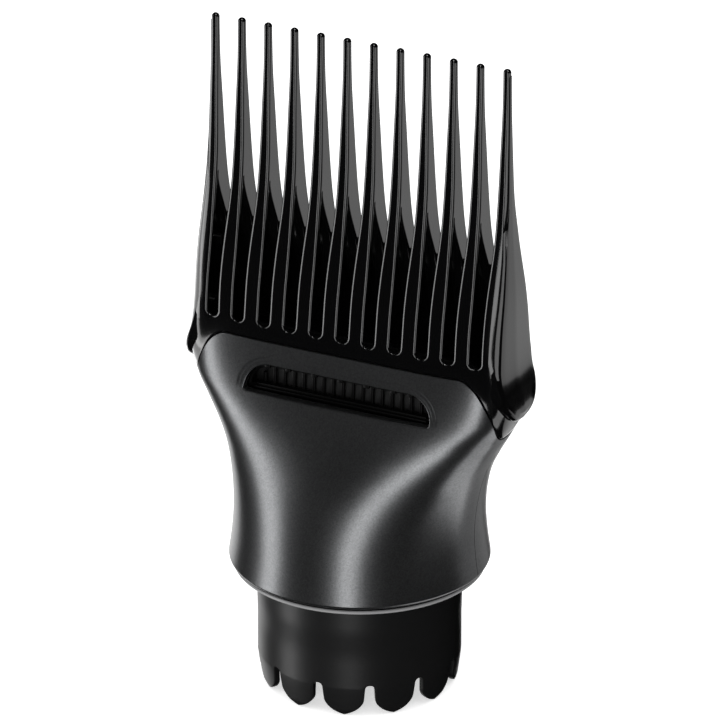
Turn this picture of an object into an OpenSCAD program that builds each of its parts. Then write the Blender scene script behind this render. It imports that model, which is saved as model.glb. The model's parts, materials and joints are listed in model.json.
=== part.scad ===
// Comb attachment for a hair dryer: twelve-tooth pik head on a funnel body,
// with a snap-in collar that swivels under the body.
// Millimetres, +Z towards the tooth tips, front of the comb faces -Y.
// Origin: axis of the collar, in the plane of the flange's underside, where
// the attachment seats on the end of the dryer barrel.

/* [Comb head] */
// Height of the tooth tips above the body rim
tip_z = 135; // [132:1:138]
// Distance from tooth to tooth
tooth_pitch = 7.0; // [6.9:0.05:7.0]
// Thickness of a tooth at its root
tooth_t = 2.9; // [2.6:0.1:3.2]
// Diameter of a tooth tip
tip_d = 1.9; // [1.6:0.1:2.0]
// Bottom of the front slots above the body rim
slot_z = 60; // [59:0.5:64]
// Width of a front slot
slot_w = 3.2; // [2.6:0.1:3.6]
// Bottom of the gaps in the rear wall above the body rim
rear_gap_z = 82; // [80:0.5:86]
// Height of the front slots' upper end, where the webs start
web_z = 94.5; // [93:0.5:97]

/* [Body] */
// Wall of the two body shells
wall = 2.0; // [1.8:0.1:2.2]
// Height of the joint between head and body at the middle of the front
part_front_z = 57; // [56:0.5:57.5]
// Height of the same joint at the sides
part_side_z = 40; // [39:0.5:42]
// Width of the half-moon vent
vent_w = 49.5; // [44:0.5:50]
// Height of the vent
vent_h = 7.0; // [5.5:0.5:7.5]
// Lower edge of the vent above the body rim
vent_z = 44.3; // [43.5:0.1:44.8]

/* [Collar] */
// Outside diameter of the collar where it enters the dryer barrel
collar_d = 49.8; // [49.2:0.1:50.2]
// Wall of the collar
collar_wall = 1.8; // [1.6:0.1:2.0]
// Diameter of the flange that seats on the barrel end
flange_d = 59.5; // [57:0.5:60]
// Thickness of the flange
flange_t = 1.6; // [1.4:0.1:2.0]
// Depth of the notch tops below the body rim
notch_z = 23.7; // [22:0.1:26]
// Length of the fingers below the notch tops
finger_len = 8.4; // [7:0.2:9.4]
// Width of a notch at its top
notch_w = 2.0; // [1.6:0.1:2.4]
// How far the finger tips lean inwards
finger_lean = 1.0; // [0.6:0.1:1.6]
// Turn of the finger pattern away from the front
finger_phase = 2; // [0:1:29]
// Radial clearance of the swivel neck in the body floor
swivel_gap = 0.08; // [0.05:0.01:0.1]

/* [Hidden] */
$fn = 96;
eps = 0.01;

// heights below are measured from the body rim, which sits on the flange
rim = flange_t;
col_r = collar_d / 2;
bore_r = col_r - collar_wall;
neck_r = col_r - 0.3;
teeth = 12;
fingers = 12;
rest_x = tooth_pitch * (teeth - 1) / 2;
gap_w = tooth_pitch - tooth_t;
root_z = -notch_z - 1.3;
part_gap = 0.25;
duct_r = 22.6;

// Stations of the outer form: height, half width, half depth, roundness
// exponent of the cross-section (2 is an ellipse, larger is squarer).
BODY = [[0, 31.9, 31.9, 2], [6, 31.1, 31.0, 2], [12, 30.75, 30.0, 2],
        [18, 31.2, 28.4, 2], [24, 32.3, 26.0, 2.05], [29, 33.85, 23.2, 2.15],
        [34, 36.3, 20.0, 2.35], [39, 39.0, 16.9, 2.75], [45, 41.6, 14.0, 3.5],
        [52, 41.5, 12.0, 4.4], [57, 40.9, 10.9, 5], [63, 40.3, 9.9, 5.6],
        [70, 40.2, 8.9, 6.2], [77, 40.1, 7.4, 7], [84, 40.0, 5.7, 8],
        [90, 39.95, 4.35, 9], [96, 39.9, 3.3, 10], [104, 39.8, 2.45, 12],
        [114, 39.65, 1.85, 14], [124, 39.5, 1.25, 14], [132, 39.45, 0.97, 14],
        [140, 39.45, 0.95, 14]];
// Stations of the duct: height, half width, half depth, exponent
DUCT = [[0, duct_r, duct_r, 2], [14, duct_r, duct_r, 2], [20, 22.9, 21.6, 2.1],
        [27, 24.5, 17.4, 2.3], [34, 27.2, 12.5, 2.6], [41, 30.2, 8.9, 3],
        [48, 32.8, 7.7, 3.5], [53, 34.0, 7.3, 4]];
// Outer face of the side plates: height, distance from the middle
PLATE = [[44.5, 41.2], [46, 42.2], [48.5, 42.7], [52, 42.4], [57, 41.5],
         [63, 41.15], [77, 41.0], [84, 40.7], [90, 40.4], [96, 40.2],
         [104, 40.0], [114, 39.8]];

// smooth curve through a table's column c
function seg(T, z, i = 0) = (i >= len(T) - 2 || z < T[i + 1][0]) ? i : seg(T, z, i + 1);
function slope(T, i, c) =
    let(a = max(i - 1, 0), b = min(i + 1, len(T) - 1))
    (T[b][c] - T[a][c]) / (T[b][0] - T[a][0]);
function curve(T, z0, c) =
    let(z = min(max(z0, T[0][0]), T[len(T) - 1][0]), i = seg(T, z),
        h = T[i + 1][0] - T[i][0], u = (z - T[i][0]) / h,
        m0 = slope(T, i, c) * h, m1 = slope(T, i + 1, c) * h)
    T[i][c] * (1 + 2 * u) * (1 - u) * (1 - u) + m0 * u * (1 - u) * (1 - u)
    + T[i + 1][c] * u * u * (3 - 2 * u) - m1 * u * u * (1 - u);

// point of a cross-section at height z and parameter angle t, inset by off
function power(v, n) = sign(v) * pow(abs(v), 2 / n);
function sect(T, z, t, off, dz = 0) =
    let(n = curve(T, z, 3), snap = abs(sin(t)) < 1e-9 ? 0 : sin(t))
    [(curve(T, z, 1) - off) * power(abs(cos(t)) < 1e-9 ? 0 : cos(t), n),
     (curve(T, z, 2) - off) * power(snap, n), z + dz];

// height of the joint between head and body at angle t
function part_z(t) =
    let(a = asin(min(1, abs(sin(t)))))
    part_side_z + (part_front_z - part_side_z) * (1 - cos(180 * min(1, a / 62))) / 2;

// rounded lower edge of the body
edge_r = 1.2;
function edge(z) = z >= edge_r ? 0 : edge_r - sqrt(edge_r * edge_r - pow(edge_r - z, 2));

// closed solid through a stack of rings that all hold the same number of points
module stack(R) {
    n = len(R[0]);
    m = len(R);
    polyhedron(
        points = [for (r = R) for (p = r) p],
        faces = concat(
            [[for (i = [0:n - 1]) i]],
            [[for (i = [n - 1:-1:0]) (m - 1) * n + i]],
            [for (k = [0:m - 2]) for (i = [0:n - 1]) let(j = (i + 1) % n)
                [k * n + i, (k + 1) * n + i, k * n + j]],
            [for (k = [0:m - 2]) for (i = [0:n - 1]) let(j = (i + 1) % n)
                [k * n + j, (k + 1) * n + i, (k + 1) * n + j]]));
}

// curved wall over a fan of angles: outer skin P and inner skin Q, both
// lists of columns that run upwards, joined along all four edges
module shell_wall(P, Q) {
    n = len(P);
    m = len(P[0]);
    N = n * m;
    polyhedron(
        points = concat([for (c = P) for (p = c) p], [for (c = Q) for (p = c) p]),
        faces = concat(
            [for (i = [0:n - 2]) for (k = [0:m - 2]) [i * m + k, i * m + k + 1, (i + 1) * m + k]],
            [for (i = [0:n - 2]) for (k = [0:m - 2]) [(i + 1) * m + k, i * m + k + 1, (i + 1) * m + k + 1]],
            [for (i = [0:n - 2]) for (k = [0:m - 2]) [N + i * m + k, N + (i + 1) * m + k, N + i * m + k + 1]],
            [for (i = [0:n - 2]) for (k = [0:m - 2]) [N + (i + 1) * m + k, N + (i + 1) * m + k + 1, N + i * m + k + 1]],
            [for (i = [0:n - 2]) [i * m, (i + 1) * m, N + (i + 1) * m]],
            [for (i = [0:n - 2]) [i * m, N + (i + 1) * m, N + i * m]],
            [for (i = [0:n - 2]) [i * m + m - 1, N + (i + 1) * m + m - 1, (i + 1) * m + m - 1]],
            [for (i = [0:n - 2]) [i * m + m - 1, N + i * m + m - 1, N + (i + 1) * m + m - 1]],
            [for (k = [0:m - 2]) [k, N + k, k + 1]],
            [for (k = [0:m - 2]) [k + 1, N + k, N + k + 1]],
            [for (k = [0:m - 2]) [(n - 1) * m + k, (n - 1) * m + k + 1, N + (n - 1) * m + k]],
            [for (k = [0:m - 2]) [(n - 1) * m + k + 1, N + (n - 1) * m + k + 1, N + (n - 1) * m + k]]));
}

// half of the body, from angle a0 over 180 degrees
module half_shell(a0) {
    cols = 28;
    rows = 19;
    ang = [for (i = [0:cols]) a0 + 180 * i / cols];
    function zz(t, k) = k < 3 ? k * edge_r / 3
        : edge_r + (part_z(t) - part_gap - edge_r) * (k - 3) / (rows - 3);
    translate([0, 0, rim]) shell_wall(
        [for (t = ang) [for (k = [0:rows]) sect(BODY, zz(t, k), t, edge(zz(t, k)))]],
        [for (t = ang) [for (k = [0:rows]) sect(BODY, zz(t, k), t, wall)]]);
}

// ring about the axis over half a turn: a0 is where it starts
module half_ring(r0, r1, z0, z1, a0) {
    rotate([0, 0, a0]) rotate_extrude(angle = 180)
        translate([r0, rim + z0]) square([r1 - r0, z1 - z0]);
}

// outline of the vent, grown by g: flat bottom, large upper corners
module vent_shape(g) {
    w = vent_w / 2 + g;
    top = vent_z + vent_h + g;
    low = vent_z - g;
    R = vent_h * 0.93 + g;
    r = 0.7;
    difference() {
        translate([-w, low]) square([2 * w, top - low]);
        for (s = [-1, 1]) {
            difference() {
                translate([s > 0 ? w - R : -w - 1, top - R]) square([R + 1, R + 1]);
                translate([s * (w - R), top - R]) circle(R);
            }
            difference() {
                translate([s > 0 ? w - r : -w - 1, low - 1]) square([r + 1, r + 1]);
                translate([s * (w - r), low + r]) circle(r, $fn = 24);
            }
        }
    }
}

// prism along Y of a drawing made in X and Z
module along_y(y0, y1) {
    translate([0, y1, rim]) rotate([90, 0, 0]) linear_extrude(y1 - y0) children();
}

// prism along X of a drawing made in Y and Z
module along_x(x0, x1) {
    translate([x0, 0, rim]) rotate([90, 0, 90]) linear_extrude(x1 - x0) children();
}

// thickness of a tooth at height z
function thick(z) = let(u = max(0, min(1, (z - web_z) / (tip_z - 10 - web_z))))
    tooth_t + (tip_d - tooth_t) * (u * u * (3 - 2 * u) * 0.6 + u * 0.4);
function tooth_x(k) = -rest_x + k * tooth_pitch;

// front view of one tooth with a round tip
module tooth_view(k) {
    x = tooth_x(k);
    top = tip_z - tip_d / 2;
    zs = [for (i = [0:12]) slot_z - 4 + (top - slot_z + 4) * i / 12];
    lo = k == 0 ? -1 : 0;
    hi = k == teeth - 1 ? 1 : 0;
    polygon(concat(
        [for (z = zs) [lo < 0 ? -max(curve(BODY, z, 1), rest_x + thick(z) / 2) : x - thick(z) / 2, z]],
        [for (i = [12:-1:0]) let(z = zs[i]) [hi > 0 ? max(curve(BODY, z, 1), rest_x + thick(z) / 2) : x + thick(z) / 2, z]]));
    translate([x, top]) circle(d = tip_d, $fn = 32);
}

// front view of the whole head: hood below, twelve teeth above
module head_view() {
    difference() {
        translate([-44, 30]) square([88, rear_gap_z + gap_w / 2 - 30]);
        for (k = [0:teeth - 2])
            translate([tooth_x(k) + tooth_pitch / 2, rear_gap_z + gap_w / 2]) circle(d = gap_w, $fn = 48);
    }
    for (k = [0:teeth - 1]) tooth_view(k);
}

// side outline of the side plate, grown by g
module plate_view(g) {
    zc = 54.2;
    hw = 9.2;
    zs = [for (i = [0:10]) zc + (113 - zc) * i / 10];
    function half(z) = min(hw, curve(BODY, z, 2) - (z > 90 ? 0.25 : 0.6)) + g;
    polygon(concat([for (z = zs) [-half(z), z]], [for (i = [10:-1:0]) [half(zs[i]), zs[i]]]));
    translate([0, zc + eps]) intersection() {
        circle(hw + g, $fn = 64);
        translate([-20, -20]) square([40, 20]);
    }
}

// one side plate on the +X end: follows the curve of its outer face
module plate() {
    inner = 39.1;
    intersection() {
        along_y(-15, 15) polygon(concat(
            [for (p = PLATE) [p[1], p[0]]],
            [[inner, 114], [inner, 44.5]]));
        along_x(inner, 44) plate_view(0);
    }
    for (z = [60, 76]) translate([inner - 2.6, 0, rim + z]) rotate([0, 90, 0])
        cylinder(r = 1.5, h = 2.6 + 0.4, $fn = 32);
}

// closed tube over all angles: like shell_wall, with the ends joined up
module tube_wall(P, Q) {
    n = len(P);
    m = len(P[0]);
    N = n * m;
    polyhedron(
        points = concat([for (c = P) for (p = c) p], [for (c = Q) for (p = c) p]),
        faces = concat(
            [for (i = [0:n - 1]) let(j = (i + 1) % n) for (k = [0:m - 2]) [i * m + k, i * m + k + 1, j * m + k]],
            [for (i = [0:n - 1]) let(j = (i + 1) % n) for (k = [0:m - 2]) [j * m + k, i * m + k + 1, j * m + k + 1]],
            [for (i = [0:n - 1]) let(j = (i + 1) % n) for (k = [0:m - 2]) [N + i * m + k, N + j * m + k, N + i * m + k + 1]],
            [for (i = [0:n - 1]) let(j = (i + 1) % n) for (k = [0:m - 2]) [N + j * m + k, N + j * m + k + 1, N + i * m + k + 1]],
            [for (i = [0:n - 1]) let(j = (i + 1) % n) [i * m, j * m, N + j * m]],
            [for (i = [0:n - 1]) let(j = (i + 1) % n) [i * m, N + j * m, N + i * m]],
            [for (i = [0:n - 1]) let(j = (i + 1) % n) [i * m + m - 1, N + j * m + m - 1, j * m + m - 1]],
            [for (i = [0:n - 1]) let(j = (i + 1) % n) [i * m + m - 1, N + i * m + m - 1, N + j * m + m - 1]]));
}

module comb_head() {
    cols = 60;
    ang = [for (i = [0:cols - 1]) 360 * i / cols];
    hood_z = 61;
    hs = [hood_z, 66, 70, 74, 78, 82, 86, 90, 94, 98, 104, 110, 116, 122, 128, tip_z - 1, tip_z - 0.4, tip_z];
    rows = 7;
    // lower hood with the skirt that drops inside the body shells
    function outer(t, k) = k == 0 ? sect(BODY, part_z(t) - 3.5, t, wall + 0.14)
        : k == 1 ? sect(BODY, part_z(t), t, wall + 0.14)
        : let(z = part_z(t) + (hood_z - part_z(t)) * (k - 2) / (rows - 2)) sect(BODY, z, t, 0);
    function inner(t, k) = let(z = part_z(t) - 3.5 + (hood_z - part_z(t) + 3.5) * k / rows)
        sect(BODY, z, t, 3.3);
    // section of the air space in the upper hood
    function inset(z) = z > 66 ? 1.6 : 3.3 - 1.7 * (z - hood_z) / 5;
    function air(z, t) = let(n = curve(BODY, z, 3))
        [(curve(BODY, hood_z, 1) - 3.3) * power(abs(cos(t)) < 1e-9 ? 0 : cos(t), n),
         (curve(BODY, z, 2) - inset(z)) * power(abs(sin(t)) < 1e-9 ? 0 : sin(t), n), z];
    color([0.02, 0.02, 0.022]) difference() {
        union() {
            translate([0, 0, rim]) tube_wall(
                [for (t = ang) [for (k = [0:rows]) outer(t, k)]],
                [for (t = ang) [for (k = [0:rows]) inner(t, k)]]);
            difference() {
                intersection() {
                    translate([0, 0, rim]) stack([for (z = hs) [for (t = ang)
                        let(tip = z > tip_z - 0.2 ? 0.5 : z > tip_z - 0.6 ? 0.15 : 0)
                        let(p = sect(BODY, z, t, 0)) [p[0], p[1] * (1 - tip), p[2]]]]);
                    along_y(-20, 20) head_view();
                }
                // air space inside the hood, closed above by the slanting edge of the webs
                intersection() {
                    translate([0, 0, rim]) stack([for (z = [hood_z, 63.5, 66, 70, 74, 78, 82, 86, 90, 95])
                        [for (t = ang) let(p = air(z, t)) [p[0], p[1], z == hood_z ? z - 0.5 : z]]]);
                    along_x(-45, 45) polygon([[-30, 50], [30, 50], [30, web_z - 2.1 * 33.4],
                        [-3.4, web_z], [-30, web_z]]);
                }
            }
        }
        // slots in the front wall
        for (k = [0:teeth - 2]) along_y(-20, -1) translate([tooth_x(k) + tooth_pitch / 2, 0]) {
            translate([-slot_w / 2, slot_z + slot_w / 2]) square([slot_w, web_z - slot_z - slot_w / 2]);
            translate([0, slot_z + slot_w / 2]) circle(d = slot_w, $fn = 32);
        }
        // seats of the side plates, with holes for their studs
        for (s = [0, 1]) mirror([s, 0, 0]) {
            along_x(39.1, 46) plate_view(0.12);
            for (z = [60, 76]) translate([35, 0, rim + z]) rotate([0, 90, 0])
                cylinder(r = 1.55, h = 6, $fn = 32);
        }
    }
}

module side_plate_right() { color([0.06, 0.06, 0.065]) plate(); }
module side_plate_left() { color([0.06, 0.06, 0.065]) mirror([1, 0, 0]) plate(); }

// bosses along the seam: x, height
SEAM = [[26.4, 12], [32.5, 34.2]];

module body_front() {
    color([0.22, 0.22, 0.23]) {
        difference() {
            union() {
                half_shell(180);
                half_ring(neck_r + swivel_gap, 30.3, 0, 2.2, 180);
                half_ring(27.2, 30, 4.1, 5.2, 180);
                half_ring(27.2, 30, 6.8, 8.0, 180);
                for (s = [-1, 1]) for (b = SEAM)
                    translate([s * b[0], 0, rim + b[1]]) rotate([90, 0, 0]) cylinder(r = 2.6, h = 5);
            }
            along_y(-30, -5) vent_shape(0);
        }
        for (s = [-1, 1]) for (b = SEAM)
            translate([s * b[0], 3.5, rim + b[1]]) rotate([90, 0, 0]) cylinder(r = 1.2, h = 6, $fn = 32);
    }
}

module body_rear() {
    color([0.22, 0.22, 0.23]) difference() {
        union() {
            half_shell(0);
            half_ring(neck_r + swivel_gap, 30.3, 0, 2.2, 0);
            half_ring(27.2, 30, 4.1, 5.2, 0);
            half_ring(27.2, 30, 6.8, 8.0, 0);
            for (s = [-1, 1]) for (b = SEAM)
                translate([s * b[0], 5, rim + b[1]]) rotate([90, 0, 0]) cylinder(r = 2.6, h = 5);
        }
        for (s = [-1, 1]) for (b = SEAM)
            translate([s * b[0], 4, rim + b[1]]) rotate([90, 0, 0]) cylinder(r = 1.25, h = 4.5, $fn = 32);
    }
}

module vent_grille() {
    bar = 0.8;
    step = 2.6;
    color([0.03, 0.03, 0.03]) {
        // plate behind the opening
        difference() {
            along_y(-9.6, -8.7) vent_shape(1.2);
            along_y(-12, -5) vent_shape(-0.9);
        }
        // rim that stands in the opening
        difference() {
            along_y(-10.6, -9.2) vent_shape(-0.12);
            along_y(-12, -5) vent_shape(-0.9);
        }
        // stepped sill
        translate([-vent_w / 2 + 2, -10.2, rim + vent_z + 0.6]) cube([vent_w - 4, 1.2, 0.9]);
        // upright bars
        for (i = [-9:9]) if (abs(i * step) < vent_w / 2 - 2.2)
            translate([i * step - bar / 2, -9.6, rim + vent_z + 0.5])
                cube([bar, 0.9, vent_h - (abs(i * step) > vent_w / 2 - 6.5 ? 3.6 : 1.0)]);
    }
}

module inner_duct() {
    cols = 44;
    ang = [for (i = [0:cols - 1]) 360 * i / cols];
    hs = [0.6, 14, 18, 22, 27, 31, 35, 39, 43, 48, 53];
    t = 1.2;
    color([0.05, 0.05, 0.05]) {
        translate([0, 0, rim]) tube_wall(
            [for (a = ang) [for (z = hs) sect(DUCT, z, a, 0)]],
            [for (a = ang) [for (z = hs) sect(DUCT, z, a, t)]]);
        // flange held in the groove of the body shells
        translate([0, 0, rim + 5.3]) difference() {
            cylinder(r = 28.2, h = 1.4);
            translate([0, 0, -1]) cylinder(r = duct_r - t / 2, h = 4);
        }
        // vanes that spread the air over the teeth
        for (s = [-1, 1]) for (v = [[4, 7], [10, 18]])
            along_y(-6.9, 6.9) polygon([[s * v[0], 40], [s * (v[0] + 1), 40],
                [s * (v[1] + 1), 53], [s * v[1], 53]]);
    }
}

// one notch between two fingers, looking along the radius: x across, y up
module notch_view() {
    r = notch_w / 2;
    translate([0, -notch_z - r + rim]) circle(r, $fn = 32);
    polygon([[-r, -notch_z - r + rim], [r, -notch_z - r + rim],
        [r + 0.35, -notch_z - finger_len - 2 + rim], [-r - 0.35, -notch_z - finger_len - 2 + rim]]);
}

module notches() {
    for (k = [0:fingers - 1])
        rotate([0, 0, finger_phase + (k + 0.5) * 360 / fingers + 15])
            translate([0, -15, 0]) rotate([90, 0, 0]) linear_extrude(15) notch_view();
}

module collar_sleeve() {
    color([0.03, 0.03, 0.03]) difference() {
        rotate_extrude($fn = 128) sleeve_profile();
        notches();
    }
}
// wall of the collar, as a profile to turn: sleeve below, flange, neck above
module sleeve_profile() {
    taper = 0.12;
    b = root_z + 0.1 + rim;
    polygon([[bore_r, b], [col_r - taper, b], [col_r - taper, rim - 14],
        [col_r, rim - 10.8], [col_r, 0], [flange_d / 2 - 0.5, 0],
        [flange_d / 2, 0.5], [flange_d / 2, flange_t - 0.05], [neck_r, flange_t - 0.05],
        [neck_r, flange_t + 2.3], [neck_r - 0.7, flange_t + 2.3], [neck_r - 0.7, flange_t + 3.7],
        [neck_r, flange_t + 3.7], [neck_r, flange_t + 4.0], [neck_r - 0.3, flange_t + 4.3],
        [bore_r + 0.3, flange_t + 4.3], [bore_r, flange_t + 4.0]]);
}

module retaining_ring() {
    color([0.55, 0.55, 0.57]) difference() {
        translate([0, 0, rim + 2.4]) difference() {
            cylinder(r = neck_r + 2.2, h = 1.2);
            translate([0, 0, -1]) cylinder(r = neck_r - 0.65, h = 4);
        }
        translate([-2.5, 15, rim]) cube([5, 20, 8]);
    }
}

// one finger: a slice of the tapering wall, cut to a pointed outline
module finger(k) {
    top = root_z - 0.1 + rim;
    tip = rim - notch_z - finger_len;
    w = PI * col_r / fingers;
    r = notch_w / 2;
    zr = rim - notch_z - r;
    function side(z) = w - r - 0.35 * (zr - z) / (finger_len + 2 - r);
    sh = tip + 3.2;
    color([0.03, 0.03, 0.03]) rotate([0, 0, finger_phase + k * 360 / fingers + 15]) intersection() {
        rotate_extrude($fn = 128) polygon([[bore_r, top], [col_r - 0.12, top],
            [col_r - 0.12 - finger_lean, tip], [bore_r - finger_lean + 0.3, tip]]);
        translate([0, -15, 0]) rotate([90, 0, 0]) linear_extrude(15) union() {
            polygon([[-side(top), top], [-side(sh + 0.6), sh + 0.6], [-side(sh) + 0.15, sh], [-side(sh) + 0.7, sh - 0.55],
                [-1.5, tip + 0.25], [-0.7, tip], [0.7, tip], [1.5, tip + 0.25],
                [side(sh) - 0.7, sh - 0.55], [side(sh) - 0.15, sh], [side(sh + 0.6), sh + 0.6], [side(top), top]]);
        }
    }
}

module finger_01() { finger(0); }
module finger_02() { finger(1); }
module finger_03() { finger(2); }
module finger_04() { finger(3); }
module finger_05() { finger(4); }
module finger_06() { finger(5); }
module finger_07() { finger(6); }
module finger_08() { finger(7); }
module finger_09() { finger(8); }
module finger_10() { finger(9); }
module finger_11() { finger(10); }
module finger_12() { finger(11); }

comb_head();
side_plate_left();
side_plate_right();
body_front();
body_rear();
vent_grille();
inner_duct();
collar_sleeve();
retaining_ring();
finger_01();
finger_02();
finger_03();
finger_04();
finger_05();
finger_06();
finger_07();
finger_08();
finger_09();
finger_10();
finger_11();
finger_12();
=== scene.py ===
import json
import math

import bmesh
import bpy
import numpy as np
from mathutils import Matrix, Vector
from mathutils.geometry import delaunay_2d_cdt

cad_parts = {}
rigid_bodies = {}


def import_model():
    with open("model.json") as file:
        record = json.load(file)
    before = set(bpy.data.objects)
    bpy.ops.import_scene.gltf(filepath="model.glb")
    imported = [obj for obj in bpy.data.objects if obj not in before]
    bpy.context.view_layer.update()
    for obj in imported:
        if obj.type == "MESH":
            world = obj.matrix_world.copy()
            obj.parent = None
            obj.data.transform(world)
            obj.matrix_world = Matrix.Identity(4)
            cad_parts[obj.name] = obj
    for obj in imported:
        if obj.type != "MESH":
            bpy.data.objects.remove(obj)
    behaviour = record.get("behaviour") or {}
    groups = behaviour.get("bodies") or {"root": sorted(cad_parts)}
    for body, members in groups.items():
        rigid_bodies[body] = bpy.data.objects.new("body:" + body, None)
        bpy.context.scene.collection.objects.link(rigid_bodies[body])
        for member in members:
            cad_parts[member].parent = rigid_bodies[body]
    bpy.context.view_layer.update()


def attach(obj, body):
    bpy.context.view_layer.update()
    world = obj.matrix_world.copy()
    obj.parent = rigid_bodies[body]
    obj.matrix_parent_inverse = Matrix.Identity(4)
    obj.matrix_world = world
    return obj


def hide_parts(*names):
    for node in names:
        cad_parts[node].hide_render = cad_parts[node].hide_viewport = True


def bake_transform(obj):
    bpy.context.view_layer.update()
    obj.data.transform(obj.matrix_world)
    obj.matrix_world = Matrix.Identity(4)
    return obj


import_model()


MM = 0.001
RIM = 1.6
PI = math.pi

# ---------------------------------------------------------------- outer form
BODY = np.array([
    [0, 31.9, 31.9, 2], [6, 31.1, 31.0, 2], [12, 30.75, 30.0, 2], [18, 31.2, 28.4, 2],
    [24, 32.3, 26.0, 2.05], [29, 33.85, 23.2, 2.15], [34, 36.3, 20.0, 2.35], [39, 39.0, 16.9, 2.75],
    [45, 41.6, 14.0, 3.5], [52, 41.5, 12.0, 4.4], [57, 40.9, 10.9, 5], [63, 40.3, 9.9, 5.6],
    [70, 40.2, 8.9, 6.2], [77, 40.1, 7.4, 7], [84, 40.0, 5.7, 8], [90, 39.95, 4.35, 9],
    [96, 39.9, 3.3, 10], [104, 39.8, 2.45, 12], [114, 39.65, 1.85, 14], [124, 39.5, 1.25, 14],
    [132, 39.45, 0.97, 14], [140, 39.45, 0.95, 14]])
PLATE = np.array([
    [44.5, 41.2], [46, 42.2], [48.5, 42.7], [52, 42.4], [57, 41.5], [63, 41.15], [77, 41.0],
    [84, 40.7], [90, 40.4], [96, 40.2], [104, 40.0], [114, 39.8], [124, 39.66], [134, 39.6]])
DUCT = np.array([
    [0, 22.6, 22.6, 2], [14, 22.6, 22.6, 2], [20, 22.9, 21.6, 2.1], [27, 24.5, 17.4, 2.3],
    [34, 27.2, 12.5, 2.6], [41, 30.2, 8.9, 3], [48, 32.8, 7.7, 3.5], [53, 34.0, 7.3, 4]])


def curve(T, z0, c):
    """Smooth curve through column c of a table, at height z0."""
    zt, v = T[:, 0], T[:, c]
    n = len(T)
    z = np.clip(np.asarray(z0, float), zt[0], zt[-1])
    i = np.clip(np.searchsorted(zt, z, side="right") - 1, 0, n - 2)
    a, b = np.maximum(np.arange(n) - 1, 0), np.minimum(np.arange(n) + 1, n - 1)
    m = (v[b] - v[a]) / (zt[b] - zt[a])
    h = zt[i + 1] - zt[i]
    u = (z - zt[i]) / h
    return (v[i] * (1 + 2 * u) * (1 - u) ** 2 + m[i] * h * u * (1 - u) ** 2
            + v[i + 1] * u * u * (3 - 2 * u) - m[i + 1] * h * u * u * (1 - u))


def smooth(a, b, x):
    u = np.clip((np.asarray(x, float) - a) / (b - a), 0, 1)
    return u * u * (3 - 2 * u)


def half_w(z):
    return curve(BODY, z, 1)


def half_d(z):
    return curve(BODY, z, 2)


def expo(z):
    return curve(BODY, z, 3)


def front_y(x, z, W=half_w, N=expo):
    """Distance of the front (or rear) face from the middle plane."""
    r = np.clip(np.abs(x) / W(z), 0, 1)
    return half_d(z) * np.maximum(1 - r ** N(z), 0) ** (1 / N(z))


# --------------------------------------------------------------- mesh helper
class Build:
    """Collects vertices in mm (rim heights) and faces, then makes one object."""

    def __init__(self):
        self.v = []
        self.f = []

    def add(self, pts):
        base = len(self.v)
        self.v.extend([tuple(float(c) for c in p) for p in pts])
        return base

    def grid(self, G, close_i=False, close_j=False, flip=False):
        """G[i][j] points; quads between neighbours."""
        G = np.asarray(G, float)
        ni, nj = G.shape[:2]
        b = self.add(G.reshape(-1, 3))
        for i in range(ni if close_i else ni - 1):
            i2 = (i + 1) % ni
            for j in range(nj if close_j else nj - 1):
                j2 = (j + 1) % nj
                q = [b + i * nj + j, b + i2 * nj + j, b + i2 * nj + j2, b + i * nj + j2]
                self.f.append(q[::-1] if flip else q)
        return b

    def fan(self, ring, flip=False):
        ring = [tuple(p) for p in ring]
        b = self.add(ring)
        q = list(range(b, b + len(ring)))
        self.f.append(q[::-1] if flip else q)

    def make(self, name, material, merge=0.002, sharp=40, recalc=True, move=None):
        me = bpy.data.meshes.new(name)
        v = np.array(self.v, float)
        if move is not None:
            v = move(v)
        v = (v + np.array([0, 0, RIM])) * MM
        me.from_pydata([tuple(p) for p in v], [], self.f)
        bm = bmesh.new()
        bm.from_mesh(me)
        bmesh.ops.remove_doubles(bm, verts=bm.verts, dist=merge * MM)
        bmesh.ops.dissolve_degenerate(bm, edges=bm.edges, dist=1e-7)
        if recalc:
            bmesh.ops.recalc_face_normals(bm, faces=bm.faces)
        lim = math.radians(sharp)
        for e in bm.edges:
            if len(e.link_faces) == 2:
                e.smooth = e.calc_face_angle(0.0) < lim
            for fc in e.link_faces:
                fc.smooth = True
        bm.to_mesh(me)
        bm.free()
        ob = bpy.data.objects.new(name, me)
        bpy.context.scene.collection.objects.link(ob)
        me.materials.append(material)
        return ob


def analytic_normals(ob, func, tol=0.02, skip=None):
    """Sets loop normals from func(x, y, z) -> (distance, normal) where the vertex lies on the form."""
    me = ob.data
    co = np.array([v.co for v in me.vertices], float) / MM - np.array([0, 0, RIM])
    dist, nrm = func(co)
    good = np.abs(dist) < tol
    if skip is not None:
        good &= ~skip(co)
    loops = np.zeros(len(me.loops), int)
    me.loops.foreach_get("vertex_index", loops)
    out = np.zeros((len(loops), 3))
    for p in me.polygons:
        fn = np.array(p.normal)
        for li in p.loop_indices:
            vi = loops[li]
            if good[vi] and float(nrm[vi] @ fn) > 0.86:
                out[li] = nrm[vi]
    me.normals_split_custom_set([tuple(n) for n in out])


def form_gradient(W, N, off=0.0):
    def G(p):
        z = p[:, 2]
        n = N(z)
        return ((np.abs(p[:, 0]) / (W(z) - off)) ** n + (np.abs(p[:, 1]) / (half_d(z) - off)) ** n) ** (1 / n)

    def func(p):
        h = 1e-3
        g0 = G(p)
        g = np.stack([(G(p + np.eye(3)[k] * h) - G(p - np.eye(3)[k] * h)) / (2 * h) for k in range(3)], 1)
        ln = np.linalg.norm(g, axis=1) + 1e-9
        return (g0 - 1) / ln, g / ln[:, None]
    return func


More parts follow.
